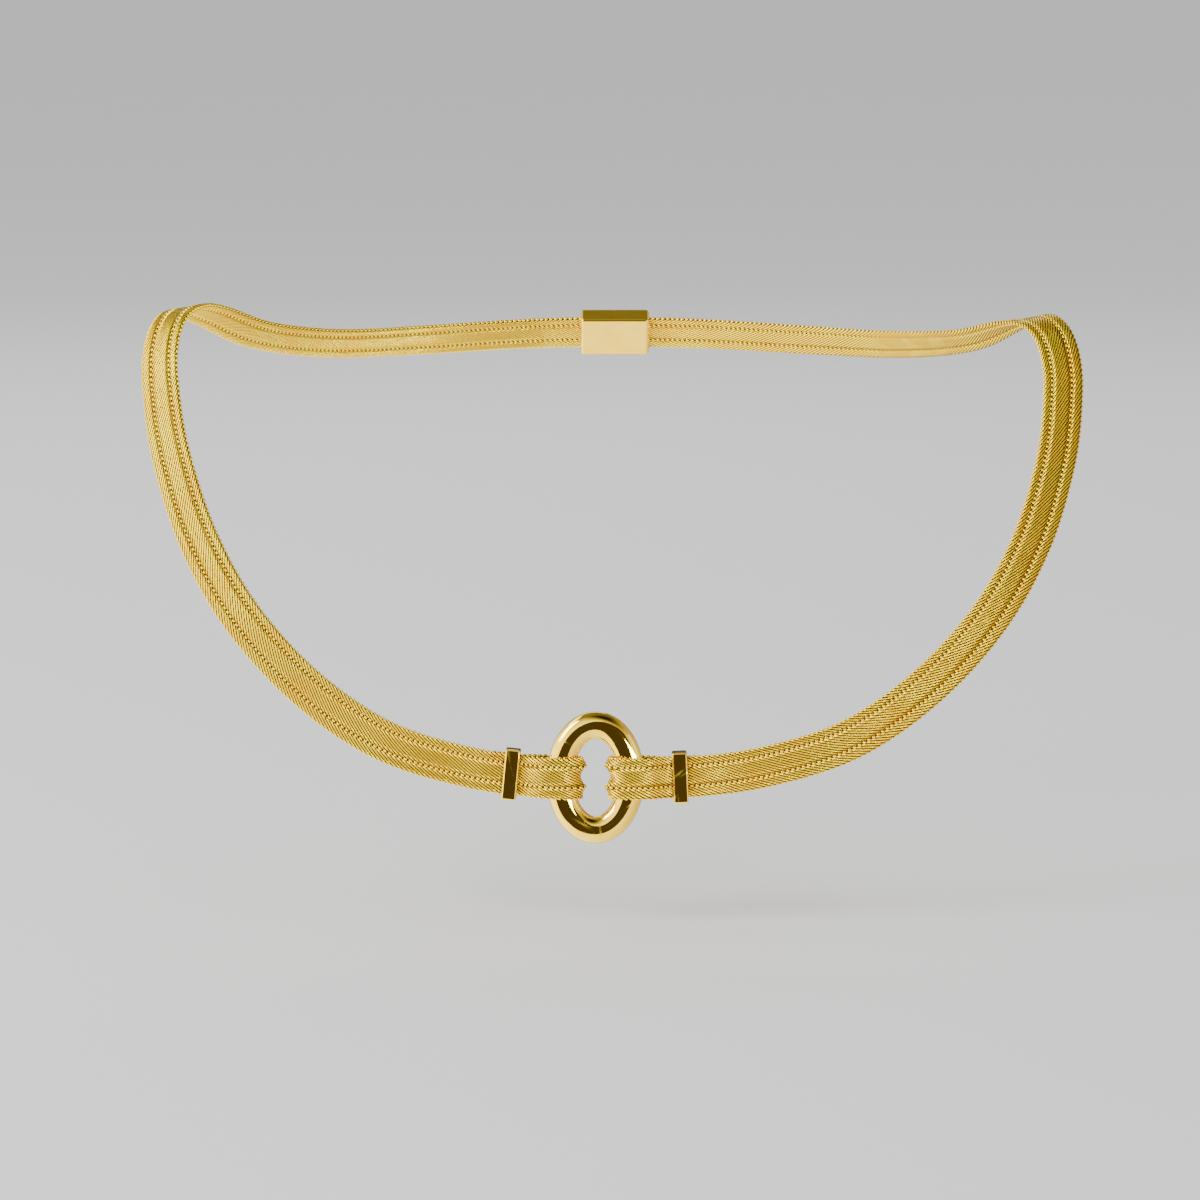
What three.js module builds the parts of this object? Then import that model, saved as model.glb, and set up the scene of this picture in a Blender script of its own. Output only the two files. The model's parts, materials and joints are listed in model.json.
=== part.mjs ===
import * as THREE from 'three';

// Sizes in millimetres. X runs to the viewer's right, Y away from the viewer, Z up.
// The origin sits on the axis of the neck, level with the crests of the shoulders.
const loopHalfWidth = 75.75;
const frontDrop = 75.0;
const frontReach = 40.0;
const backReach = 45.0;
const ringShift = -3.35;

// How the loop leaves its mirrored form where it crosses each shoulder.
const crestShift = -0.9;
const crestLift = { left: 1.4, right: -0.4 };
const crestLean = { left: 0.10, right: -0.35 };

const bandWidth = 6.8;
const seamThickness = 1.0;
const zoneThickness = 0.8;
const edgeThickness = 0.6;
const outerZoneShare = 0.22;
const innerZoneShare = 0.29;
const seamBulge = 0.75;

const ringWidth = 15.9;
const ringHeight = 21.6;
const ringLimb = 4.4;
const ringDepth = 3.0;
const ringRoundness = 2.4;

const fitGap = 0.3;
const layerGap = 0.2;
const keeperSpot = 13.8;
const keeperLength = 2.4;
const keeperWall = 0.45;
const keeperBevel = 0.25;
const tailPastKeeper = 2.1;

const claspLength = 12.0;
const claspHeight = 8.2;
const claspDepth = 3.2;
const claspBevel = 0.5;

const ringSegments = 48;
const ringSectionPoints = 16;
const turnStations = 9;
const bandStations = 74;
const spanSamples = 24;

// One half of the loop, from the middle of the front to the middle of the back.
// Each row: side share, depth share, height share, crest share, then the way the face looks.
const loopRows = [
  [0.000, -1.000, -1.000, 0.0, 0.00, -1.00, 0.05],
  [0.170, -0.998, -0.997, 0.0, 0.00, -1.00, 0.05],
  [0.325, -0.985, -0.977, 0.0, 0.00, -0.99, 0.09],
  [0.505, -0.940, -0.922, 0.0, 0.02, -0.98, 0.15],
  [0.670, -0.850, -0.815, 0.0, 0.05, -0.97, 0.20],
  [0.810, -0.725, -0.672, 0.0, 0.10, -0.96, 0.25],
  [0.908, -0.580, -0.512, 0.1, 0.16, -0.94, 0.30],
  [0.970, -0.425, -0.338, 0.4, 0.26, -0.90, 0.36],
  [0.993, -0.295, -0.200, 0.7, 0.34, -0.84, 0.46],
  [0.993, -0.215, -0.120, 0.9, 0.36, -0.76, 0.60],
  [0.976, -0.130, -0.065, 1.0, 0.30, -0.50, 0.85],
  [0.945, -0.020, -0.043, 1.0, 0.20, -0.15, 0.97],
  [0.895, 0.120, -0.062, 0.9, 0.35, 0.20, 0.92],
  [0.795, 0.320, -0.110, 0.5, 0.50, 0.40, 0.78],
  [0.640, 0.575, -0.135, 0.1, 0.50, 0.55, 0.68],
  [0.440, 0.820, -0.138, 0.0, 0.35, 0.72, 0.62],
  [0.230, 0.970, -0.133, 0.0, 0.15, 0.80, 0.60],
  [0.085, 1.000, -0.130, 0.0, 0.00, 0.82, 0.58],
  [0.000, 1.000, -0.130, 0.0, 0.00, 0.82, 0.58],
];

const gold = { color: 0xd9ad3f, roughness: 0.3, metalness: 1.0 };
const polishedGold = { color: 0xe0b54a, roughness: 0.12, metalness: 1.0 };

function blend(a, b, c, d, t) {
  const t2 = t * t;
  const t3 = t2 * t;
  return 0.5 * (2 * b + (c - a) * t + (2 * a - 5 * b + 4 * c - d) * t2 + (3 * b - a - 3 * c + d) * t3);
}

// Fills the steps between rows with an even flowing curve.
function smoothRows(rows, first, last, samples) {
  const padded = [first, ...rows, last];
  const out = [];
  for (let i = 1; i < padded.length - 2; i += 1) {
    for (let k = 0; k < samples; k += 1) {
      const t = k / samples;
      out.push(padded[i].map((_, c) => blend(padded[i - 1][c], padded[i][c], padded[i + 1][c], padded[i + 2][c], t)));
    }
  }
  out.push(rows[rows.length - 1].slice());
  return out;
}

function mirrorRow(row) {
  return row.map((value, c) => (c === 0 || c === 3 ? -value : value));
}

// The middle line of one half of the loop, with its length, its way across and its outward way.
function halfLoop(side) {
  const sign = side === 'left' ? -1 : 1;
  const rows = loopRows.map(([across, deep, high, crest, faceX, faceY, faceZ]) => [
    sign * across * loopHalfWidth + crest * crestShift,
    deep * (deep < 0 ? frontReach : backReach),
    high * frontDrop + crest * crestLift[side],
    sign * (faceX + crest * crestLean[side]),
    faceY,
    faceZ,
  ]);
  const count = rows.length;
  const dense = smoothRows(rows, mirrorRow(rows[1]), mirrorRow(rows[count - 2]), spanSamples);
  const points = dense.map((row) => new THREE.Vector3(row[0], row[1], row[2]));
  const lengths = [0];
  for (let i = 1; i < points.length; i += 1) {
    lengths.push(lengths[i - 1] + points[i].distanceTo(points[i - 1]));
  }
  const frames = points.map((point, i) => {
    const before = points[Math.max(i - 1, 0)];
    const after = points[Math.min(i + 1, points.length - 1)];
    const along = after.clone().sub(before).normalize();
    const out = new THREE.Vector3(dense[i][3], dense[i][4], dense[i][5]);
    out.addScaledVector(along, -out.dot(along)).normalize();
    const across = along.clone().cross(out).multiplyScalar(sign);
    return { point, along, out, across };
  });
  return { sign, frames, lengths, total: lengths[lengths.length - 1] };
}

// The frame at a given length from the middle of the front.
function frameAt(half, length) {
  const { frames, lengths } = half;
  if (length <= 0) {
    const start = frames[0];
    return { ...start, point: start.point.clone().addScaledVector(start.along, length) };
  }
  let i = 1;
  while (i < lengths.length - 1 && lengths[i] < length) {
    i += 1;
  }
  const t = (length - lengths[i - 1]) / (lengths[i] - lengths[i - 1]);
  const mix = (key) => frames[i - 1][key].clone().lerp(frames[i][key], t);
  return {
    point: mix('point'),
    along: mix('along').normalize(),
    out: mix('out').normalize(),
    across: mix('across').normalize(),
  };
}

// Joins rings of points into one closed solid that faces outward.
function loftSolid(rings, closed) {
  const size = rings[0].length;
  const positions = rings.flat().flatMap((point) => [point.x, point.y, point.z]);
  const faces = [];
  const spans = closed ? rings.length : rings.length - 1;
  for (let i = 0; i < spans; i += 1) {
    const here = i * size;
    const next = ((i + 1) % rings.length) * size;
    for (let k = 0; k < size; k += 1) {
      const m = (k + 1) % size;
      faces.push([here + k, here + m, next + m], [here + k, next + m, next + k]);
    }
  }
  if (!closed) {
    [[0, true], [rings.length - 1, false]].forEach(([index, turned]) => {
      const hub = positions.length / 3;
      const middle = rings[index].reduce((sum, point) => sum.add(point), new THREE.Vector3());
      middle.divideScalar(size);
      positions.push(middle.x, middle.y, middle.z);
      for (let k = 0; k < size; k += 1) {
        const a = index * size + k;
        const b = index * size + ((k + 1) % size);
        faces.push(turned ? [hub, b, a] : [hub, a, b]);
      }
    });
  }
  const corner = (i) => new THREE.Vector3().fromArray(positions, i * 3);
  const volume = faces.reduce((sum, [a, b, c]) => sum + corner(a).dot(corner(b).cross(corner(c))), 0);
  const wound = volume < 0 ? faces.map(([a, b, c]) => [a, c, b]) : faces;
  const geometry = new THREE.BufferGeometry();
  geometry.setAttribute('position', new THREE.Float32BufferAttribute(positions, 3));
  geometry.setIndex(wound.flat());
  geometry.computeVertexNormals();
  return geometry;
}

function place(frame, across, out, along) {
  return frame.point.clone()
    .addScaledVector(frame.across, across)
    .addScaledVector(frame.out, out)
    .addScaledVector(frame.along, along);
}

// How far the limb of the ring draws in toward its middle at a height above the middle.
function limbDraw(height) {
  const halfWide = ringWidth / 2 - ringLimb;
  const halfTall = ringHeight / 2 - ringLimb;
  return halfWide * (Math.sqrt(1 - (height / halfTall) ** 2) - 1);
}

// The band's cross-section: three flat zones between two standing seams, thinner at the edges.
function bandSection(fold) {
  const edge = bandWidth / 2;
  const outerSeam = -edge + outerZoneShare * bandWidth;
  const innerSeam = edge - innerZoneShare * bandWidth;
  const seam = seamThickness / 2;
  const zone = zoneThickness / 2;
  const rim = edgeThickness / 2;
  const stops = [
    [-edge + rim, rim, rim],
    [(outerSeam - edge) / 2, zone, zone],
    [outerSeam, seam + fold * seamBulge, seam - fold * seamBulge * 0.5],
    [(outerSeam + innerSeam) / 2, zone, zone],
    [innerSeam, seam + fold * seamBulge, seam - fold * seamBulge * 0.5],
    [(innerSeam + edge) / 2, zone, zone],
    [edge - rim, rim, rim],
  ];
  return [
    [-edge, 0],
    ...stops.map(([across, face]) => [across, face]),
    [edge, 0],
    ...stops.reverse().map(([across, , back]) => [across, -back]),
  ];
}

// The way through the ring: tail behind the keeper, round the limb, and forward again.
function ringWay() {
  const reach = ringDepth / 2 + fitGap + seamThickness / 2;
  const layer = (seamThickness + layerGap) / 2;
  const turnAt = (ringWidth / 2 - ringLimb) + ringDepth / 2;
  const limbEnd = ringWidth / 2;
  const slope = keeperSpot - keeperLength / 2 - limbEnd;
  const tail = keeperSpot + keeperLength / 2 + tailPastKeeper;
  const layered = [
    [tail, layer, 0],
    [keeperSpot + keeperLength / 2, layer, 0],
    [keeperSpot - keeperLength / 2, layer, 0],
    [limbEnd + slope * 0.75, layer + (reach - layer) * 0.12, 0],
    [limbEnd + slope * 0.45, layer + (reach - layer) * 0.55, 0.1],
    [limbEnd + slope * 0.15, layer + (reach - layer) * 0.93, 0.4],
    [limbEnd - ringLimb * 0.2, reach, 0.8],
    [turnAt, reach, 1],
  ];
  const turn = [];
  for (let i = 1; i < turnStations; i += 1) {
    const angle = Math.PI * (i / turnStations - 0.5);
    turn.push([turnAt - reach * Math.cos(angle), reach * Math.sin(angle), 1]);
  }
  const settle = [
    [tail + 1.5, layer * 0.75, 0],
    [tail + 4.0, layer * 0.3, 0],
    [tail + 6.5, layer * 0.05, 0],
  ];
  const behind = layered.map(([at, lift, pull]) => [at, -lift, pull]);
  return [...behind, ...turn, ...layered.slice().reverse(), ...settle];
}

function bandStationsFor(half, side) {
  const offset = side === 'left' ? -ringShift : ringShift;
  const way = ringWay();
  const stations = way.map(([at, lift, pull]) => {
    const frame = frameAt(half, at + offset);
    return { ...frame, centre: place(frame, 0, lift, 0), pull };
  });
  const from = way[way.length - 1][0] + offset;
  const to = half.total - claspLength / 2 - fitGap;
  for (let i = 1; i <= bandStations; i += 1) {
    const frame = frameAt(half, from + (to - from) * (i / bandStations));
    stations.push({ ...frame, centre: frame.point, pull: 0 });
  }
  return stations;
}

function buildBand(half, side) {
  const stations = bandStationsFor(half, side);
  const last = stations.length - 1;
  const rings = stations.map((station, i) => {
    const before = stations[Math.max(i - 1, 0)].centre;
    const after = stations[Math.min(i + 1, last)].centre;
    const travel = i === last ? station.along : after.clone().sub(before).normalize();
    const across = station.across.clone();
    across.addScaledVector(travel, -across.dot(travel)).normalize();
    const face = across.clone().cross(travel).multiplyScalar(half.sign);
    const turned = Math.max(0, -face.dot(station.along));
    const fold = station.pull === 1 ? turned ** 2 : 0;
    return bandSection(fold).map(([wide, thick]) => station.centre.clone()
      .addScaledVector(across, wide)
      .addScaledVector(face, thick)
      .addScaledVector(station.along, station.pull * limbDraw(wide)));
  });
  return loftSolid(rings, false);
}

function buildRing(centre) {
  const halfWide = (ringWidth - ringLimb) / 2;
  const halfTall = (ringHeight - ringLimb) / 2;
  const rings = [];
  for (let i = 0; i < ringSegments; i += 1) {
    const angle = (i / ringSegments) * 2 * Math.PI;
    const wide = halfWide * Math.cos(angle);
    const tall = halfTall * Math.sin(angle);
    const outward = new THREE.Vector2(halfTall * Math.cos(angle), halfWide * Math.sin(angle)).normalize();
    const section = [];
    for (let k = 0; k < ringSectionPoints; k += 1) {
      const turn = (k / ringSectionPoints) * 2 * Math.PI;
      const power = 2 / ringRoundness;
      const side = Math.sign(Math.cos(turn)) * Math.abs(Math.cos(turn)) ** power * (ringLimb / 2);
      const lift = Math.sign(Math.sin(turn)) * Math.abs(Math.sin(turn)) ** power * (ringDepth / 2);
      section.push(place(centre, tall + outward.y * side, lift, wide + outward.x * side));
    }
    rings.push(section);
  }
  return loftSolid(rings, true);
}

function buildKeeper(frame) {
  const inWide = bandWidth / 2 + fitGap;
  const inDeep = seamThickness + layerGap / 2 + fitGap;
  const outWide = inWide + keeperWall;
  const outDeep = inDeep + keeperWall;
  const end = keeperLength / 2;
  const corners = [[1, 1], [-1, 1], [-1, -1], [1, -1]];
  const rings = corners.map(([wide, deep]) => [
    [inWide, inDeep, -end],
    [outWide - keeperBevel, outDeep - keeperBevel, -end],
    [outWide, outDeep, -end + keeperBevel],
    [outWide, outDeep, end - keeperBevel],
    [outWide - keeperBevel, outDeep - keeperBevel, end],
    [inWide, inDeep, end],
  ].map(([across, out, along]) => place(frame, wide * across, deep * out, along)));
  return loftSolid(rings, true).toNonIndexed();
}

function buildClasp(frame) {
  const wide = claspHeight / 2;
  const deep = claspDepth / 2;
  const end = claspLength / 2;
  const layers = [
    [-end, claspBevel],
    [-end + claspBevel, 0],
    [end - claspBevel, 0],
    [end, claspBevel],
  ];
  const rings = layers.map(([along, inset]) => {
    const w = wide - inset;
    const d = deep - inset;
    const c = claspBevel;
    const outline = [
      [w - c, d], [w, d - c], [w, c - d], [w - c, -d],
      [c - w, -d], [-w, c - d], [-w, d - c], [c - w, d],
    ];
    return outline.map(([across, out]) => place(frame, across, out, along));
  });
  return loftSolid(rings, false).toNonIndexed();
}

function named(name, geometry, look) {
  const mesh = new THREE.Mesh(geometry, new THREE.MeshStandardMaterial(look));
  geometry.computeVertexNormals();
  mesh.name = name;
  return mesh;
}

const left = halfLoop('left');
const right = halfLoop('right');
const necklace = new THREE.Group();
necklace.name = 'collar_choker_necklace';
necklace.add(named('ring', buildRing(frameAt(right, ringShift)), polishedGold));
necklace.add(named('band_left', buildBand(left, 'left'), gold));
necklace.add(named('band_right', buildBand(right, 'right'), gold));
necklace.add(named('keeper_left', buildKeeper(frameAt(left, keeperSpot - ringShift)), polishedGold));
necklace.add(named('keeper_right', buildKeeper(frameAt(right, keeperSpot + ringShift)), polishedGold));
necklace.add(named('clasp', buildClasp(frameAt(right, right.total)), polishedGold));

export default necklace;
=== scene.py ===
import json
import math

import bmesh
import bpy
import numpy as np
from mathutils import Matrix, Vector

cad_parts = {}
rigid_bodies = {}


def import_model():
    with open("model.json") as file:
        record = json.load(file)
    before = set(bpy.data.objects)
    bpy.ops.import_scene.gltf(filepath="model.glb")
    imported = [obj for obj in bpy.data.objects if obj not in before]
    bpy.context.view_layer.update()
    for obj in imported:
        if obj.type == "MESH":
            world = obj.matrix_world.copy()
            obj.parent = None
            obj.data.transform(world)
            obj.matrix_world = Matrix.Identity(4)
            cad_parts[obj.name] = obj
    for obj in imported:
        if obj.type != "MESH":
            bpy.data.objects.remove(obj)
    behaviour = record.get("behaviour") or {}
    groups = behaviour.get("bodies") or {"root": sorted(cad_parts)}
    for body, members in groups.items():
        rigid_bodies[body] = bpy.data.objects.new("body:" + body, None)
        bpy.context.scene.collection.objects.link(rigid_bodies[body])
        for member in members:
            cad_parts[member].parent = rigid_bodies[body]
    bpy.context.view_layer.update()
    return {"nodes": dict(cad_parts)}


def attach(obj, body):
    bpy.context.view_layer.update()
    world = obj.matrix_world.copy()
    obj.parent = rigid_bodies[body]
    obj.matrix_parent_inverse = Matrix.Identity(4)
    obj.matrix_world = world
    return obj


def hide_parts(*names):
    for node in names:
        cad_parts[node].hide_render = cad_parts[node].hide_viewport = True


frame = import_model()
print("frame loaded:", ", ".join(sorted(frame["nodes"])))

mm = 0.001  # the necklace's sizes are in millimetres, its finished meshes in metres

# The loop as worn, with the same driving sizes as the solids.
loopSize = {
    "halfWidth": 75.75,
    "frontDrop": 75.0,
    "frontReach": 40.0,
    "backReach": 45.0,
    "ringShift": -3.35,  # the ring hangs to the left of the middle
    "crestShift": -0.9,
    "crestLift": {"left": 1.4, "right": -0.4},
    "crestLean": {"left": 0.10, "right": -0.35},  # turns the face sideways at the crest
    "samples": 24,  # points on the curve from one row to the next
}

# Half the loop from the front to the nape: shares of side, depth, height and crest, then the face's way.
loopRows = [
    (0.000, -1.000, -1.000, 0.0, 0.00, -1.00, 0.05),
    (0.170, -0.998, -0.997, 0.0, 0.00, -1.00, 0.05),
    (0.325, -0.985, -0.977, 0.0, 0.00, -0.99, 0.09),
    (0.505, -0.940, -0.922, 0.0, 0.02, -0.98, 0.15),
    (0.670, -0.850, -0.815, 0.0, 0.05, -0.97, 0.20),
    (0.810, -0.725, -0.672, 0.0, 0.10, -0.96, 0.25),
    (0.908, -0.580, -0.512, 0.1, 0.16, -0.94, 0.30),
    (0.970, -0.425, -0.338, 0.4, 0.26, -0.90, 0.36),
    (0.993, -0.295, -0.200, 0.7, 0.34, -0.84, 0.46),
    (0.993, -0.215, -0.120, 0.9, 0.36, -0.76, 0.60),
    (0.976, -0.130, -0.065, 1.0, 0.30, -0.50, 0.85),
    (0.945, -0.020, -0.043, 1.0, 0.20, -0.15, 0.97),
    (0.895, 0.120, -0.062, 0.9, 0.35, 0.20, 0.92),
    (0.795, 0.320, -0.110, 0.5, 0.50, 0.40, 0.78),
    (0.640, 0.575, -0.135, 0.1, 0.50, 0.55, 0.68),
    (0.440, 0.820, -0.138, 0.0, 0.35, 0.72, 0.62),
    (0.230, 0.970, -0.133, 0.0, 0.15, 0.80, 0.60),
    (0.085, 1.000, -0.130, 0.0, 0.00, 0.82, 0.58),
    (0.000, 1.000, -0.130, 0.0, 0.00, 0.82, 0.58),
]

ringSize = {
    "width": 15.9,
    "height": 21.6,
    "limb": 4.4,
    "depth": 3.0,
    "roundness": 2.4,  # 2 is a plain round section, more is squarer
    "around": 192,  # steps round the ring
    "section": 40,  # corners of the limb's section
}

bandSize = {
    "width": 6.8,
    "seamThickness": 1.0,
    "outerZoneShare": 0.22,  # of the width, outside the outer row of beads
    "innerZoneShare": 0.29,
    "fitGap": 0.3,
    "layerGap": 0.2,  # between the two layers in a keeper
    "tailPastKeeper": 2.1,
    "intoClasp": 0.9,
    "pathStep": 0.8,
}

keeperSize = {
    "spot": 13.8,  # from the ring's middle
    "length": 2.4,
    "wall": 0.45,
    "edge": 0.22,
    "edgeSteps": 3,
}

claspSize = {
    "length": 12.0,
    "height": 8.2,
    "depth": 3.2,
    "edge": 0.5,
    "edgeSteps": 4,
}

# How the band folds round the ring's limb.
foldSize = {
    # From the keeper to the limb: share of the way left, share of the lift, pull to the limb's curve.
    "slope": ((0.75, 0.12, 0.0), (0.45, 0.55, 0.1), (0.15, 0.93, 0.4)),
    "limbTop": (0.2, 0.8),  # share of the limb, and the pull there
    "turnSteps": 9,
    # Past the tail one layer settles onto the loop: distance on, and share of the lift left.
    "settle": ((1.5, 0.75), (4.0, 0.3), (6.5, 0.05)),
    "samples": 8,
    "gripFrom": 0.95,  # the pull from which the band lies tight on the limb
    "bulge": 0.75,  # how far the rows of beads swell in the fold
    "bulgeReach": 1.3,
    "bulgeInside": 0.5,  # share of it on the side against the limb
}


# A smooth curve through all rows but the first and the last, which only steer it.
def smoothRows(rows, samples):
    curve = []
    for a, b, c, d in zip(rows, rows[1:], rows[2:], rows[3:]):
        bend = 2 * a - 5 * b + 4 * c - d
        twist = 3 * b - a - 3 * c + d
        for t in np.arange(samples) / samples:
            curve.append((2 * b + (c - a) * t + bend * t**2 + twist * t**3) / 2)
    curve.append(rows[-2])
    return np.array(curve)


def unit(rows):
    return rows / np.linalg.norm(rows, axis=-1, keepdims=True)


def squareTo(rows, ways):
    return unit(rows - np.sum(rows * ways, axis=1, keepdims=True) * ways)


def runLength(points):
    steps = np.linalg.norm(np.diff(points, axis=0), axis=1)
    return np.concatenate([[0.0], np.cumsum(steps)])


# Half the loop: its points, and at each point the ways along it, out of its face and across it.
def halfLoop(side):
    sign = -1.0 if side == "left" else 1.0
    rows = []
    for across, deep, high, crest, faceX, faceY, faceZ in loopRows:
        reach = loopSize["frontReach"] if deep < 0 else loopSize["backReach"]
        rows.append([
            sign * across * loopSize["halfWidth"] + crest * loopSize["crestShift"],
            deep * reach,
            high * loopSize["frontDrop"] + crest * loopSize["crestLift"][side],
            sign * (faceX + crest * loopSize["crestLean"][side]),
            faceY,
            faceZ,
        ])
    rows = np.array(rows)
    otherHalf = np.array([-1, 1, 1, -1, 1, 1])  # the first row past each end lies on the other half
    dense = smoothRows([rows[1] * otherHalf, *rows, rows[-2] * otherHalf], loopSize["samples"])
    point = dense[:, :3]
    along = unit(np.gradient(point, axis=0))
    out = squareTo(dense[:, 3:], along)
    return {
        "sign": sign,
        "length": runLength(point),
        "point": point,
        "along": along,
        "out": out,
        "across": sign * np.cross(along, out),
    }


# Place and ways on half the loop, which runs straight on past the middle at the front.
def frameAt(half, length):
    length = np.asarray(length, float)
    inside = np.clip(length, 0.0, None)
    found = {}
    for key in ("point", "along", "out", "across"):
        columns = [np.interp(inside, half["length"], half[key][:, i]) for i in range(3)]
        found[key] = np.stack(columns, axis=-1)
    for key in ("along", "out", "across"):
        found[key] = unit(found[key])
    found["point"] = found["point"] + found["along"] * (length - inside)[..., None]
    return found


# The ring's middle as a length on this half of the loop.
def ringSpot(side):
    return -loopSize["ringShift"] if side == "left" else loopSize["ringShift"]


# How far the limb's curve draws the band toward the ring's middle at a height on the ring.
def limbDraw(height):
    halfWide = ringSize["width"] / 2 - ringSize["limb"]
    halfTall = ringSize["height"] / 2 - ringSize["limb"]
    return halfWide * (np.sqrt(1 - (height / halfTall) ** 2) - 1)


# The band's way at the ring: distance from the ring's middle, lift off the loop, pull to the limb's curve.
def ringWay():
    layer = (bandSize["seamThickness"] + bandSize["layerGap"]) / 2
    reach = ringSize["depth"] / 2 + bandSize["fitGap"] + bandSize["seamThickness"] / 2
    turnAt = ringSize["width"] / 2 - ringSize["limb"] + ringSize["depth"] / 2
    limbEnd = ringSize["width"] / 2
    near = keeperSize["spot"] - keeperSize["length"] / 2
    far = keeperSize["spot"] + keeperSize["length"] / 2
    tail = far + bandSize["tailPastKeeper"]
    slope = near - limbEnd
    layered = [(tail, layer, 0.0), (far, layer, 0.0), (near, layer, 0.0)]
    for left, rise, pull in foldSize["slope"]:
        layered.append((limbEnd + slope * left, layer + (reach - layer) * rise, pull))
    share, pull = foldSize["limbTop"]
    layered.append((limbEnd - ringSize["limb"] * share, reach, pull))
    layered.append((turnAt, reach, 1.0))
    turn = []
    for step in range(1, foldSize["turnSteps"]):
        angle = math.pi * (step / foldSize["turnSteps"] - 0.5)
        turn.append((turnAt - reach * math.cos(angle), reach * math.sin(angle), 1.0))
    settle = [(tail + onward, layer * share, 0.0) for onward, share in foldSize["settle"]]
    behind = [(at, -lift, pull) for at, lift, pull in layered]
    return np.array([*behind, *turn, *reversed(layered), *settle])


# A band's own path, from the end of its folded tail to the clasp.
def bandTrack(half, side):
    way = ringWay()
    way = smoothRows([2 * way[0] - way[1], *way, 2 * way[-1] - way[-2]], foldSize["samples"])
    start = way[-1, 0] + ringSpot(side)
    end = half["length"][-1] - claspSize["length"] / 2 + bandSize["intoClasp"]
    rest = np.linspace(start, end, int((end - start) / bandSize["pathStep"]))[1:]
    flat = np.zeros(len(rest))
    at = np.concatenate([way[:, 0] + ringSpot(side), rest])
    lift = np.concatenate([way[:, 1], flat])
    pull = np.clip(np.concatenate([way[:, 2], flat]), 0, 1)
    frames = frameAt(half, at)
    centre = frames["point"] + frames["out"] * lift[:, None]
    travel = unit(np.gradient(centre, axis=0))
    across = squareTo(frames["across"], travel)
    face = half["sign"] * np.cross(across, travel)
    inward = np.clip(-np.sum(face * frames["along"], axis=1), 0, None)
    return {
        "length": runLength(centre),
        "centre": centre,
        "across": across,
        "face": face,
        "along": frames["along"],
        "pull": pull,
        "fold": inward**2 * (pull > foldSize["gripFrom"]),
        "mirrored": half["sign"] > 0,
    }


loopHalf = {side: halfLoop(side) for side in ("left", "right")}
track = {side: bandTrack(loopHalf[side], side) for side in loopHalf}
for side in track:
    print(f"band {side}: {track[side]['length'][-1]:.1f} mm long with its fold")


# Flat work: x runs along the band, y from its outer to its inner edge, z out of its face.
seamPlaces = (
    -bandSize["width"] / 2 + bandSize["outerZoneShare"] * bandSize["width"],
    bandSize["width"] / 2 - bandSize["innerZoneShare"] * bandSize["width"],
)


# From 0 beside the rows of beads to 1 on them.
def seamNearness(across, reach):
    near = [np.clip(1 - np.abs(across - seam) / reach, 0, 1) for seam in seamPlaces]
    near = np.maximum(near[0], near[1])
    return near * near * (3 - 2 * near)


# Moves flat work onto a band's path and keeps its flat place as an attribute for the materials.
def bendOntoTrack(mesh, path):
    flat = np.empty(len(mesh.vertices) * 3)
    mesh.vertices.foreach_get("co", flat)
    flat = flat.reshape(-1, 3)
    keep = mesh.attributes.new("flatPlace", "FLOAT_VECTOR", "POINT")
    keep.data.foreach_set("vector", (flat * mm).ravel())
    at, sideways, rise = flat.T

    def along(key):
        values = path[key]
        if values.ndim == 1:
            return np.interp(at, path["length"], values)
        return np.stack([np.interp(at, path["length"], values[:, i]) for i in range(3)], axis=1)

    near = seamNearness(sideways, foldSize["bulgeReach"])
    swell = np.where(rise > 0, 1.0, foldSize["bulgeInside"])
    rise = rise + foldSize["bulge"] * along("fold") * near * swell
    across = unit(along("across")) * sideways[:, None]
    outward = unit(along("face")) * rise[:, None]
    toLimb = along("along") * (along("pull") * limbDraw(sideways))[:, None]
    placed = along("centre") + across + outward + toLimb
    mesh.vertices.foreach_set("co", (placed * mm).ravel())
    if path["mirrored"]:
        mesh.flip_normals()
    mesh.update()


def addPiece(name, mesh, material):
    piece = bpy.data.objects.new(name, mesh)
    bpy.context.scene.collection.objects.link(piece)
    mesh.materials.append(material)
    return piece


def meshFrom(bm, name):
    mesh = bpy.data.meshes.new(name)
    for face in bm.faces:
        face.smooth = True
    bm.to_mesh(mesh)
    bm.free()
    return mesh


def outwardFaces(bm):
    bm.normal_update()
    bmesh.ops.recalc_face_normals(bm, faces=bm.faces)


def nodeMaterial(name):
    material = bpy.data.materials.new(name)
    material.use_nodes = True
    tree = material.node_tree
    tree.nodes.clear()
    shader = tree.nodes.new("ShaderNodeBsdfPrincipled")
    output = tree.nodes.new("ShaderNodeOutputMaterial")
    tree.links.new(shader.outputs["BSDF"], output.inputs["Surface"])
    return material, tree, shader


def objectPlace(tree):
    return tree.nodes.new("ShaderNodeTexCoord").outputs["Object"]


def noiseNode(tree, vector, scale, detail, roughness=0.55):
    noise = tree.nodes.new("ShaderNodeTexNoise")
    noise.inputs["Scale"].default_value = scale
    noise.inputs["Detail"].default_value = detail
    noise.inputs["Roughness"].default_value = roughness
    tree.links.new(vector, noise.inputs["Vector"])
    return noise.outputs["Fac"]


def grey(level):
    return (level, level, level)


# Two stops, each a place from 0 to 1 with its colour or grey level.
def rampNode(tree, value, stops):
    ramp = tree.nodes.new("ShaderNodeValToRGB")
    for element, (place, shade) in zip(ramp.color_ramp.elements, stops):
        element.position = place
        element.color = (*(shade if isinstance(shade, tuple) else grey(shade)), 1.0)
    tree.links.new(value, ramp.inputs["Fac"])
    return ramp.outputs["Color"]


def bumpNode(tree, height, strength, distance):
    bump = tree.nodes.new("ShaderNodeBump")
    bump.inputs["Strength"].default_value = strength
    bump.inputs["Distance"].default_value = distance
    tree.links.new(height, bump.inputs["Height"])
    return bump


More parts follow.
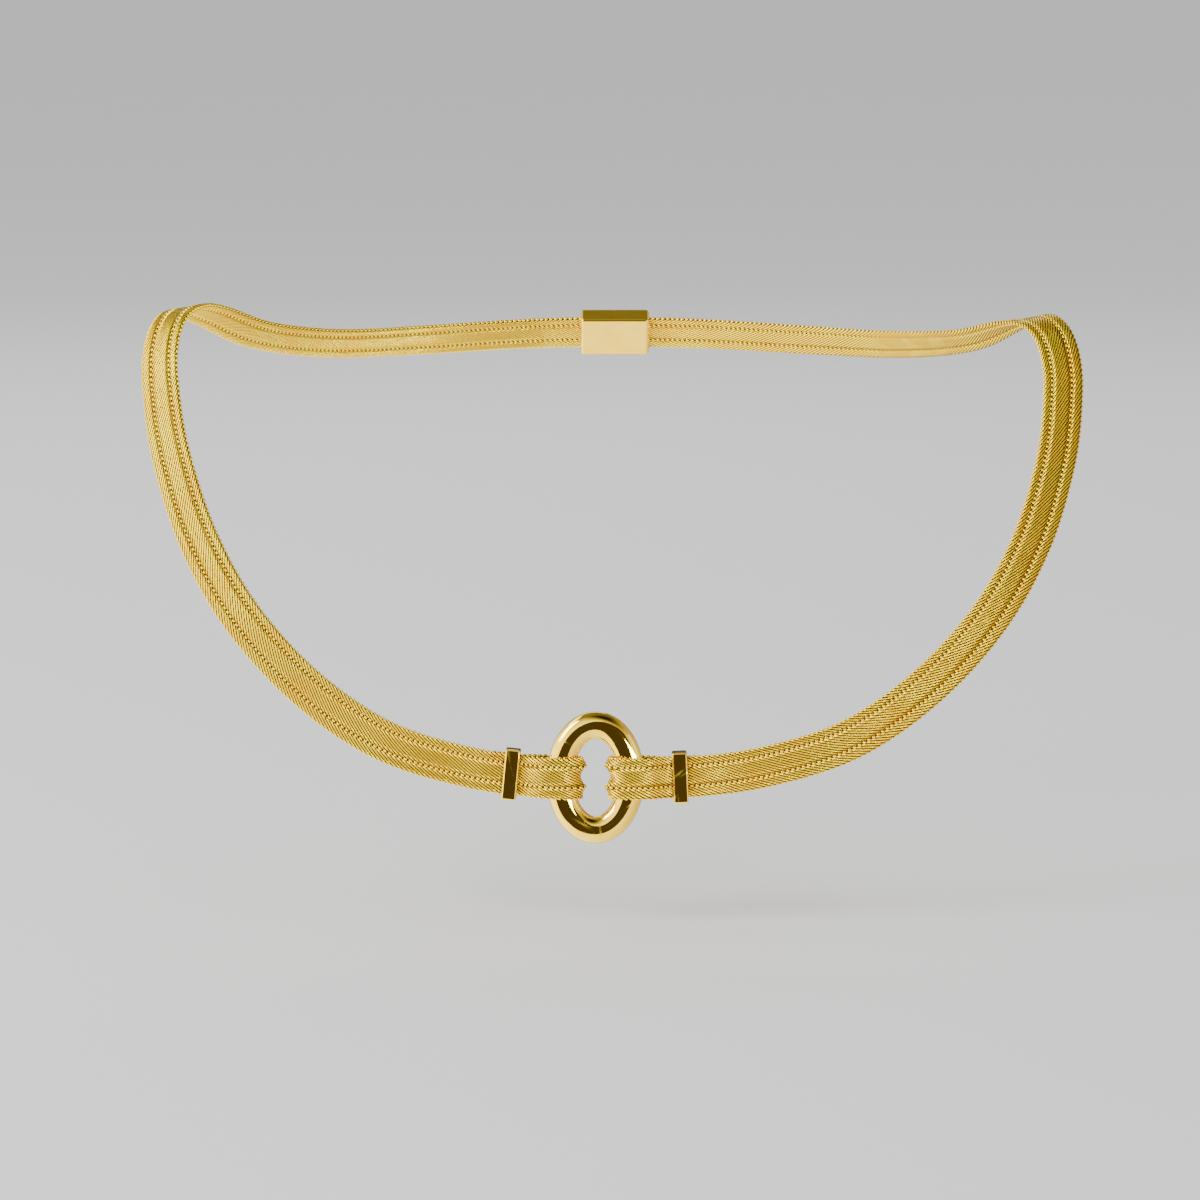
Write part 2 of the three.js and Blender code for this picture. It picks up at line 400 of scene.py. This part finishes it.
def stretchedPlace(tree, vector, scale, turn):
    mapping = tree.nodes.new("ShaderNodeMapping")
    mapping.vector_type = "TEXTURE"  # turns first, so that each set of scratches runs its own way
    mapping.inputs["Scale"].default_value = scale
    mapping.inputs["Rotation"].default_value = turn
    tree.links.new(vector, mapping.inputs["Vector"])
    return mapping.outputs["Vector"]


def mathNode(tree, operation, first, second):
    node = tree.nodes.new("ShaderNodeMath")
    node.operation = operation
    for place, value in enumerate((first, second)):
        if isinstance(value, float):
            node.inputs[place].default_value = value
        else:
            tree.links.new(value, node.inputs[place])
    return node.outputs["Value"]


def mixNode(tree, factor, first, second):
    mix = tree.nodes.new("ShaderNodeMix")
    mix.data_type = "RGBA"
    for value, name in ((factor, "Factor"), (first, "A"), (second, "B")):
        if isinstance(value, tuple):
            mix.inputs[name].default_value = (*value, 1.0)
        else:
            tree.links.new(value, mix.inputs[name])
    return mix.outputs["Result"]


wovenGold = {
    "tint": ((0.35, (1.00, 0.67, 0.008)), (0.65, (1.00, 0.785, 0.022))),
    "gloss": ((0.3, 0.32), (0.7, 0.22)),  # roughness in the deeper and in the lighter clouds
    "cloudScale": 160.0,
    "grainScale": 2600.0,
    "grainBump": 0.12,
    "grainDepth": 0.00002,  # metres
}


def wovenGoldMaterial():
    material, tree, shader = nodeMaterial("wovenGold")
    attribute = tree.nodes.new("ShaderNodeAttribute")
    attribute.attribute_name = "flatPlace"
    place = attribute.outputs["Vector"]
    clouds = noiseNode(tree, place, wovenGold["cloudScale"], detail=4.0)
    tree.links.new(rampNode(tree, clouds, wovenGold["tint"]), shader.inputs["Base Color"])
    tree.links.new(rampNode(tree, clouds, wovenGold["gloss"]), shader.inputs["Roughness"])
    grain = noiseNode(tree, place, wovenGold["grainScale"], detail=2.0)
    bump = bumpNode(tree, grain, wovenGold["grainBump"], wovenGold["grainDepth"])
    tree.links.new(bump.outputs["Normal"], shader.inputs["Normal"])
    shader.inputs["Metallic"].default_value = 1.0
    return material


# The core sheet that shows in the gaps between the wires, coloured near black as painted shade for the
# deep gaps.
paintedGapShade = {
    "tint": ((0.3, (0.06, 0.0275, 0.004)), (0.7, (0.12, 0.055, 0.008))),
    "cloudScale": 900.0,
    "metallic": 0.85,
    "roughness": 0.60,
}


# Painted shade: a near black gold for the core, standing in for the shade deep between the wires.
def paintedGapShadeMaterial():
    material, tree, shader = nodeMaterial("paintedGapShade")
    clouds = noiseNode(tree, objectPlace(tree), paintedGapShade["cloudScale"], detail=3.0)
    tree.links.new(rampNode(tree, clouds, paintedGapShade["tint"]), shader.inputs["Base Color"])
    shader.inputs["Metallic"].default_value = paintedGapShade["metallic"]
    shader.inputs["Roughness"].default_value = paintedGapShade["roughness"]
    return material


polishedGold = {
    "tint": ((0.35, (1.00, 0.68, 0.05)), (0.65, (1.00, 0.76, 0.10))),
    "gloss": ((0.0, 0.05), (1.0, 0.22)),  # roughness of the polish and of a scratch
    "cloudScale": 260.0,
    "scratchScale": 700.0,
    "scratchStretch": (9.0, 3.0, 1.0),
    "scratchTurns": (25, 80, 145),  # three ways that fine scratches run, in degrees
    "scratchLine": ((0.63, 0.0), (0.70, 1.0)),
    "scratchBump": 0.05,
    "scratchDepth": 0.00002,  # metres
    "waveScale": 130.0,
    "waveDepth": 0.0003,  # metres
    "ringWave": 0.30,
    "blockWave": 0.10,
}


def polishedGoldMaterial(name, wave):
    material, tree, shader = nodeMaterial(name)
    place = objectPlace(tree)
    clouds = noiseNode(tree, place, polishedGold["cloudScale"], detail=4.0)
    tree.links.new(rampNode(tree, clouds, polishedGold["tint"]), shader.inputs["Base Color"])
    scratches = None
    for degrees in polishedGold["scratchTurns"]:
        turn = (0.0, math.radians(degrees), 0.0)
        turned = stretchedPlace(tree, place, polishedGold["scratchStretch"], turn)
        streaks = noiseNode(tree, turned, polishedGold["scratchScale"], detail=2.0, roughness=0.7)
        lines = rampNode(tree, streaks, polishedGold["scratchLine"])
        scratches = lines if scratches is None else mathNode(tree, "MAXIMUM", scratches, lines)
    tree.links.new(rampNode(tree, scratches, polishedGold["gloss"]), shader.inputs["Roughness"])
    waves = noiseNode(tree, place, polishedGold["waveScale"], detail=1.0)
    slow = bumpNode(tree, waves, wave, polishedGold["waveDepth"])
    fine = bumpNode(tree, scratches, polishedGold["scratchBump"], polishedGold["scratchDepth"])
    fine.invert = True
    tree.links.new(slow.outputs["Normal"], fine.inputs["Normal"])
    tree.links.new(fine.outputs["Normal"], shader.inputs["Normal"])
    shader.inputs["Metallic"].default_value = 1.0
    return material


wovenMaterial = wovenGoldMaterial()
gapShadeMaterial = paintedGapShadeMaterial()
ringMaterial = polishedGoldMaterial("polishedRingGold", polishedGold["ringWave"])
keeperMaterial = polishedGoldMaterial("polishedKeeperGold", polishedGold["blockWave"])
claspMaterial = polishedGoldMaterial("polishedClaspGold", polishedGold["blockWave"])
print("materials ready")


weaveSize = {
    "stitch": 0.87,  # length of band that one stitch takes
    "lay": math.radians(28),  # angle of the wires to the band's length
    "wireWide": 0.155,
    "wireTall": 0.21,
    "wireStep": 0.11,  # between the two wires of a stitch, square to them
    "wireParts": (4, 5, 4),  # along one wire in the outer, middle and inner zone
    "zoneHeight": 0.345,
    "zoneDip": 0.03,
    "edgeDrop": 0.13,
    "edgeDropPower": 8,  # higher keeps the drop nearer the edge
    "edgeCover": 0.55,  # share of an edge tooth that the wires leave free
    "seamHalf": 0.20,
    "tuck": 0.05,  # how far a wire's ends dip
    "tuckShare": 0.2,
    "beadLong": 0.60,
    "beadWide": 0.45,
    "beadTall": 0.34,
    "beadHeight": 0.335,
    "beadTurn": 0.30,  # radians
    "edgeLong": 0.82,
    "edgeWide": 0.38,
    "edgeTall": 0.54,
    "edgeTurn": 0.42,  # radians
    "leadStitches": 10,  # rolled out past each end before the trim
    "coreHalf": 0.25,
    "coreStep": 0.8,
    "coreRows": 12,
    "coreThin": 0.45,  # share of the core's thickness that goes at its edges
    "coreThinPower": 6,
}


def zoneSpans():
    edge = bandSize["width"] / 2 - weaveSize["edgeWide"] * weaveSize["edgeCover"]
    half = weaveSize["seamHalf"]
    low, high = seamPlaces
    return [(-edge, low - half), (low + half, high - half), (high + half, edge)]


def zoneLift(across, span):
    share = (across - span[0]) / (span[1] - span[0])
    bow = 1 - (2 * share - 1) ** 2
    outward = abs(across) / (bandSize["width"] / 2)
    drop = weaveSize["edgeDrop"] * outward ** weaveSize["edgeDropPower"]
    return weaveSize["zoneHeight"] - weaveSize["zoneDip"] * bow - drop


# How far a wire's slant has carried it along the band at a place across it.
def slantShift(across, slant):
    return slant * across / math.tan(weaveSize["lay"])


# One wire across one zone: a drawn-out six-sided rod that dips under the seam at both ends.
def addWire(bm, span, start, slant, face, parts):
    rod = bmesh.new()
    turn = Matrix.Rotation(math.pi / 2, 4, "Y")
    bmesh.ops.create_cone(rod, cap_ends=True, segments=6, radius1=0.5, radius2=0.5, depth=1.0, matrix=turn)
    long = [edge for edge in rod.edges if abs(edge.verts[0].co.x - edge.verts[1].co.x) > 0.5]
    bmesh.ops.subdivide_edges(rod, edges=long, cuts=parts - 1)
    reach = (span[1] - span[0]) / math.tan(weaveSize["lay"])
    plain = 1 - weaveSize["tuckShare"]
    for vert in rod.verts:
        share = vert.co.x + 0.5
        sideways = vert.co.y * weaveSize["wireWide"]
        across = span[0] + share * (span[1] - span[0])
        tuck = weaveSize["tuck"] * max(0.0, abs(2 * share - 1) - plain) / weaveSize["tuckShare"]
        rise = zoneLift(across, span) + vert.co.z * weaveSize["wireTall"] - tuck
        along = start + slant * (share * reach - sideways * math.sin(weaveSize["lay"]))
        vert.co = Vector((along, across + sideways * math.cos(weaveSize["lay"]), face * rise))
    wire = bpy.data.meshes.new("wire")
    rod.to_mesh(wire)
    rod.free()
    bm.from_mesh(wire)
    bpy.data.meshes.remove(wire)


def addBead(bm, place, size, turn, rings, segments):
    spin = Matrix.Rotation(turn, 4, "Z")
    matrix = Matrix.Translation(place) @ spin @ Matrix.Diagonal((*size, 1.0))
    bmesh.ops.create_uvsphere(bm, u_segments=segments, v_segments=rings, radius=0.5, matrix=matrix)


# One stitch of the face or the back: two wires in each zone and a bead in each row.
def stitchUnit(slant, face):
    bm = bmesh.new()
    apart = weaveSize["wireStep"] / math.sin(weaveSize["lay"])
    for span, parts in zip(zoneSpans(), weaveSize["wireParts"]):
        for pair in (-apart / 2, apart / 2):
            addWire(bm, span, slantShift(span[0], slant) + pair, slant, face, parts)
    size = (weaveSize["beadLong"], weaveSize["beadWide"], weaveSize["beadTall"])
    for seam in seamPlaces:
        shift = slantShift(seam, slant) % weaveSize["stitch"]
        place = Vector((shift, seam, face * weaveSize["beadHeight"]))
        addBead(bm, place, size, slant * weaveSize["beadTurn"], rings=6, segments=10)
    return bm


# One stitch of the two edges: a tooth on each.
def edgeUnit(slant):
    bm = bmesh.new()
    reach = bandSize["width"] / 2 - weaveSize["edgeWide"] / 2
    size = (weaveSize["edgeLong"], weaveSize["edgeWide"], weaveSize["edgeTall"])
    for edge in (-reach, reach):
        shift = slantShift(edge, slant) % weaveSize["stitch"]
        place = Vector((shift, edge, 0.0))
        addBead(bm, place, size, slant * weaveSize["edgeTurn"], rings=7, segments=12)
    return bm


# Doubles the unit along the band until it is long enough, then trims and caps both ends.
def rollOut(bm, length):
    stitch = weaveSize["stitch"]
    lead = weaveSize["leadStitches"] * stitch
    bmesh.ops.translate(bm, verts=bm.verts, vec=(-lead, 0, 0))
    needed = int((length + 2 * lead) / stitch) + 1
    made = 1
    while made < needed:
        copied = bmesh.ops.duplicate(bm, geom=[*bm.verts, *bm.edges, *bm.faces])
        verts = [item for item in copied["geom"] if isinstance(item, bmesh.types.BMVert)]
        bmesh.ops.translate(bm, verts=verts, vec=(made * stitch, 0, 0))
        made *= 2
    for place, way in ((0.0, (-1, 0, 0)), (length, (1, 0, 0))):
        bmesh.ops.bisect_plane(
            bm, geom=[*bm.verts, *bm.edges, *bm.faces], dist=1e-6,
            plane_co=(place, 0, 0), plane_no=way, clear_outer=True,
        )
        rim = [edge for edge in bm.edges if edge.is_boundary]
        bmesh.ops.holes_fill(bm, edges=rim, sides=0)


def buildWeave(side, name, unitBm):
    rollOut(unitBm, track[side]["length"][-1])
    outwardFaces(unitBm)
    mesh = meshFrom(unitBm, name)
    bendOntoTrack(mesh, track[side])
    return addPiece(name, mesh, wovenMaterial)


# The core sheet under the wires, which carries the painted gap shade.
def buildCore(side, name):
    length = track[side]["length"][-1]
    steps = int(length / weaveSize["coreStep"])
    bm = bmesh.new()
    bmesh.ops.create_grid(bm, x_segments=steps, y_segments=weaveSize["coreRows"], size=0.5)
    wide = bandSize["width"] - weaveSize["edgeWide"]
    for vert in bm.verts:
        vert.co = Vector(((vert.co.x + 0.5) * length, vert.co.y * wide, -weaveSize["coreHalf"]))
    grown = bmesh.ops.extrude_face_region(bm, geom=list(bm.faces))
    lifted = [item for item in grown["geom"] if isinstance(item, bmesh.types.BMVert)]
    bmesh.ops.translate(bm, verts=lifted, vec=(0, 0, 2 * weaveSize["coreHalf"]))
    for vert in bm.verts:
        outward = abs(vert.co.y) / (bandSize["width"] / 2)
        vert.co.z *= 1 - weaveSize["coreThin"] * outward ** weaveSize["coreThinPower"]
    outwardFaces(bm)
    mesh = meshFrom(bm, name)
    bendOntoTrack(mesh, track[side])
    return addPiece(name, mesh, gapShadeMaterial)


for side in ("left", "right"):
    slant = loopHalf[side]["sign"]  # the wires of the two bands slant opposite ways
    parts = [
        buildCore(side, f"band_{side}_core"),
        buildWeave(side, f"band_{side}_face", stitchUnit(slant, 1)),
        buildWeave(side, f"band_{side}_back", stitchUnit(slant, -1)),
        buildWeave(side, f"band_{side}_edges", edgeUnit(slant)),
    ]
    for part in parts:
        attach(part, "root")
        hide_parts(f"band_{side}")
        print(part.name, len(part.data.polygons), "faces")


# A spun round ring first, on a handy radius, which is then drawn out to the oval and set on the loop.
def buildRing():
    radius = 10
    bm = bmesh.new()
    turn = Matrix.Rotation(math.pi / 2, 4, "X")
    made = bmesh.ops.create_circle(bm, segments=ringSize["section"], radius=1.0, matrix=turn)
    power = 2 / ringSize["roundness"]
    for vert in made["verts"]:
        x, z = vert.co.x, vert.co.z
        vert.co.x = math.copysign(abs(x) ** power, x) * ringSize["limb"] / 2 + radius
        vert.co.z = math.copysign(abs(z) ** power, z) * ringSize["depth"] / 2
    bmesh.ops.spin(
        bm, geom=list(bm.edges), cent=(0, 0, 0), axis=(0, 0, 1),
        angle=2 * math.pi, steps=ringSize["around"], use_merge=True,
    )
    bmesh.ops.remove_doubles(bm, verts=bm.verts, dist=1e-4)
    middle = frameAt(loopHalf["right"], loopSize["ringShift"])
    halfWide = (ringSize["width"] - ringSize["limb"]) / 2
    halfTall = (ringSize["height"] - ringSize["limb"]) / 2
    for vert in bm.verts:
        angle = math.atan2(vert.co.y, vert.co.x)
        off = math.hypot(vert.co.x, vert.co.y) - radius
        outward = Vector((halfTall * math.cos(angle), halfWide * math.sin(angle))).normalized()
        wide = halfWide * math.cos(angle) + outward.x * off
        tall = halfTall * math.sin(angle) + outward.y * off
        place = middle["point"] + middle["along"] * wide
        place = place + middle["across"] * tall + middle["out"] * vert.co.z
        vert.co = Vector(place * mm)
    outwardFaces(bm)
    return addPiece("ring_polished", meshFrom(bm, "ring_polished"), ringMaterial)


ringPiece = buildRing()
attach(ringPiece, "root")
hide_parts("ring")
print("ring modelled")


sharpFrom = math.radians(10)  # creases from here up are not shaded smooth


def frameMatrix(at):
    ways = [Vector(at[key]) for key in ("along", "across", "out")]
    matrix = Matrix(ways).transposed().to_4x4()
    matrix.translation = Vector(at["point"] * mm)
    return matrix @ Matrix.Diagonal((mm, mm, mm, 1.0))


def bevelEdges(bm, edges, size, segments):
    bmesh.ops.bevel(
        bm, geom=edges, offset=size, offset_type="OFFSET", affect="EDGES",
        segments=segments, profile=0.5, material=-1,
    )


# Sets a finished block on the loop, with its creases kept sharp so that its flats mirror as flats.
def placeBlock(bm, at, name, material):
    bm.transform(frameMatrix(at))
    outwardFaces(bm)
    mesh = meshFrom(bm, name)
    mesh.set_sharp_from_angle(angle=sharpFrom)
    return addPiece(name, mesh, material)


def onOutside(vert, size):
    return abs(abs(vert.co.y) - size[1] / 2) < 1e-4 or abs(abs(vert.co.z) - size[2] / 2) < 1e-4


def buildKeeper(side):
    at = frameAt(loopHalf[side], keeperSize["spot"] + ringSpot(side))
    inWide = bandSize["width"] / 2 + bandSize["fitGap"]
    inDeep = bandSize["seamThickness"] + bandSize["layerGap"] / 2 + bandSize["fitGap"]
    wall = keeperSize["wall"]
    size = (keeperSize["length"], 2 * (inWide + wall), 2 * (inDeep + wall), 1.0)
    bm = bmesh.new()
    bmesh.ops.create_cube(bm, size=1.0, matrix=Matrix.Diagonal(size))
    ends = [face for face in bm.faces if abs(face.normal.x) > 0.9]
    bmesh.ops.inset_individual(bm, faces=ends, thickness=wall)
    rims = [edge for face in ends for edge in face.edges]
    bmesh.ops.delete(bm, geom=ends, context="FACES_ONLY")
    bmesh.ops.bridge_loops(bm, edges=rims)
    bm.normal_update()
    outer = [edge for edge in bm.edges if all(onOutside(vert, size) for vert in edge.verts)]
    bevelEdges(bm, outer, keeperSize["edge"], keeperSize["edgeSteps"])
    return placeBlock(bm, at, f"keeper_{side}_polished", keeperMaterial)


def buildClasp():
    at = frameAt(loopHalf["right"], loopHalf["right"]["length"][-1])
    size = (claspSize["length"], claspSize["height"], claspSize["depth"], 1.0)
    bm = bmesh.new()
    bmesh.ops.create_cube(bm, size=1.0, matrix=Matrix.Diagonal(size))
    bevelEdges(bm, list(bm.edges), claspSize["edge"], claspSize["edgeSteps"])
    return placeBlock(bm, at, "clasp_polished", claspMaterial)


for side in ("left", "right"):
    keeper = buildKeeper(side)
    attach(keeper, "root")
    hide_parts(f"keeper_{side}")

clasp = buildClasp()
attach(clasp, "root")
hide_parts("clasp")
print("keepers and clasp modelled")


# From here on all sizes are in metres.
floorSet = {
    "height": -0.100,
    "half": 12.0,
    "tint": ((0.0, 0.792), (1.0, 0.80)),
    "cloudScale": 3.0,
    "roughness": 0.9,
    "specular": 0.1,
}


def buildFloor():
    bm = bmesh.new()
    bmesh.ops.create_grid(bm, x_segments=1, y_segments=1, size=floorSet["half"])
    bmesh.ops.translate(bm, verts=bm.verts, vec=(0, 0, floorSet["height"]))
    material, tree, shader = nodeMaterial("paleFloor")
    clouds = noiseNode(tree, objectPlace(tree), floorSet["cloudScale"], detail=2.0)
    tree.links.new(rampNode(tree, clouds, floorSet["tint"]), shader.inputs["Base Color"])
    shader.inputs["Roughness"].default_value = floorSet["roughness"]
    shader.inputs["Specular IOR Level"].default_value = floorSet["specular"]
    floor = addPiece("floor", meshFrom(bm, "floor"), material)
    floor.visible_glossy = False


# The pale studio, and the room as the polished gold mirrors it.
roomLight = {
    "seen": 0.85,
    "glow": 0.80,  # on everything that isn't a mirror
    "left": (3.8, 3.5, 2.8),
    "right": (1.05, 0.86, 0.60),
    "overhead": ((0.60, 1.0), (0.93, 0.10)),  # share of the height and the light's level there
    "corner": (0.27, -0.60, 0.75),  # toward the dim upper corner, right of the camera
    "cornerFade": ((0.84, 1.0), (0.99, 0.05)),
    "behind": 0.12,  # behind the necklace
    "behindFade": ((0.02, 0.0), (0.28, 1.0)),
    "patch": (0.080, 0.060, 0.056),  # the dark patch around the camera
    "patchSize": (0.62, 0.26),  # along and across its lean
    "patchLean": math.radians(30),
    "patchRise": math.radians(-1),
    "patchWave": 0.55,
    "patchGrain": 5.0,
    "patchEdge": ((0.0, 0.0), (0.12, 1.0)),
}


def dotNode(tree, way, direction):
    node = tree.nodes.new("ShaderNodeVectorMath")
    node.operation = "DOT_PRODUCT"
    node.inputs[1].default_value = direction
    tree.links.new(way, node.inputs[0])
    return node.outputs["Value"]


def timesNode(tree, colour, level):
    node = tree.nodes.new("ShaderNodeVectorMath")
    node.operation = "MULTIPLY"
    tree.links.new(colour, node.inputs[0])
    tree.links.new(level, node.inputs[1])
    return node.outputs["Vector"]


# How far a direction goes one way, from 0 for away to 1 for straight there.
def shareNode(tree, way, direction):
    return mathNode(tree, "ADD", mathNode(tree, "MULTIPLY", dotNode(tree, way, direction), 0.5), 0.5)


# The dark patch is a leaning oval with a wavy edge, which the ring mirrors as its dark band.
def patchShare(tree, way):
    rise, lean = roomLight["patchRise"], roomLight["patchLean"]
    right = Vector((1.0, 0.0, 0.0))
    upward = Vector((0.0, math.sin(rise), math.cos(rise)))
    long = right * math.cos(lean) + upward * math.sin(lean)
    short = upward * math.cos(lean) - right * math.sin(lean)
    squares = []
    for direction, size in zip((long, short), roomLight["patchSize"]):
        share = mathNode(tree, "DIVIDE", dotNode(tree, way, direction), size)
        squares.append(mathNode(tree, "MULTIPLY", share, share))
    wave = noiseNode(tree, way, roomLight["patchGrain"], detail=1.5)
    stray = mathNode(tree, "MULTIPLY", mathNode(tree, "SUBTRACT", wave, 0.5), roomLight["patchWave"])
    oval = mathNode(tree, "ADD", mathNode(tree, "ADD", *squares), stray)
    return rampNode(tree, mathNode(tree, "SUBTRACT", 1.0, oval), roomLight["patchEdge"])


# The camera sees a pale studio, diffuse rays an even glow, and mirrors the room with its dark patch.
def buildWorld():
    world = bpy.data.worlds.new("studio")
    bpy.context.scene.world = world
    world.use_nodes = True
    tree = world.node_tree
    tree.nodes.clear()
    output = tree.nodes.new("ShaderNodeOutputWorld")
    back = tree.nodes.new("ShaderNodeBackground")
    path = tree.nodes.new("ShaderNodeLightPath")
    way = tree.nodes.new("ShaderNodeTexCoord").outputs["Generated"]
    sideways = shareNode(tree, way, (1.0, 0.0, 0.0))
    room = mixNode(tree, sideways, roomLight["left"], roomLight["right"])
    corner = dotNode(tree, way, Vector(roomLight["corner"]).normalized())
    room = timesNode(tree, room, rampNode(tree, corner, roomLight["cornerFade"]))
    height = shareNode(tree, way, (0.0, 0.0, 1.0))
    room = timesNode(tree, room, rampNode(tree, height, roomLight["overhead"]))
    room = mixNode(tree, patchShare(tree, way), room, roomLight["patch"])
    rise = roomLight["patchRise"]
    facing = shareNode(tree, way, (0.0, -math.cos(rise), math.sin(rise)))
    inFront = rampNode(tree, facing, roomLight["behindFade"])
    mirrored = mixNode(tree, inFront, grey(roomLight["behind"]), room)
    unseen = mixNode(tree, path.outputs["Is Glossy Ray"], grey(roomLight["glow"]), mirrored)
    seen = mixNode(tree, path.outputs["Is Camera Ray"], unseen, grey(roomLight["seen"]))
    tree.links.new(seen, back.inputs["Color"])
    tree.links.new(back.outputs["Background"], output.inputs["Surface"])


# Each light: place, size across and up, and power in watts. All of them look at the aim.
lightAim = (0.0, -0.02, -0.04)
lightSet = {
    "key": ((-0.85, -0.60, 0.60), (0.60, 0.60), 14.0),
    "front": ((0.50, -0.95, -0.02), (0.50, 0.15), 6.5),
    "top": ((-0.70, 0.20, 0.85), (0.60, 0.40), 3.0),
    "fill": ((0.95, -0.45, 0.10), (0.35, 0.70), 0.8),
    "rim": ((-0.10, 0.90, 0.50), (0.60, 0.30), 1.5),
}


# The front light stands low, so it lights the necklace alone and leaves no bright spot on the floor.
def buildLights():
    necklace = bpy.data.collections.new("necklace")
    for piece in bpy.context.scene.collection.objects:
        if piece.type == "MESH" and piece.name != "floor":
            necklace.objects.link(piece)
    for name, (place, size, power) in lightSet.items():
        lamp = bpy.data.lights.new(name, "AREA")
        lamp.shape = "RECTANGLE"
        lamp.size, lamp.size_y = size
        lamp.energy = power
        holder = bpy.data.objects.new(name, lamp)
        holder.location = place
        holder.rotation_euler = (Vector(lightAim) - holder.location).to_track_quat("-Z", "Y").to_euler()
        holder.visible_camera = False
        if name == "front":
            holder.light_linking.receiver_collection = necklace
        bpy.context.scene.collection.objects.link(holder)


# In front of the ring and a little above it, looking slightly down through a long lens.
cameraSet = {
    "place": (-0.00263, -0.87770, 0.07195),
    "down": math.radians(8.0),
    "lens": 156.44,
    "sensor": 36.0,
    "clip": (0.01, 100.0),
}


def buildCamera():
    data = bpy.data.cameras.new("camera")
    data.lens = cameraSet["lens"]
    data.sensor_width = cameraSet["sensor"]
    data.clip_start, data.clip_end = cameraSet["clip"]
    camera = bpy.data.objects.new("camera", data)
    camera.location = cameraSet["place"]
    camera.rotation_euler = (math.pi / 2 - cameraSet["down"], 0.0, 0.0)
    bpy.context.scene.collection.objects.link(camera)
    bpy.context.scene.camera = camera


buildFloor()
buildWorld()
buildLights()
buildCamera()
print("floor, lights and camera placed")
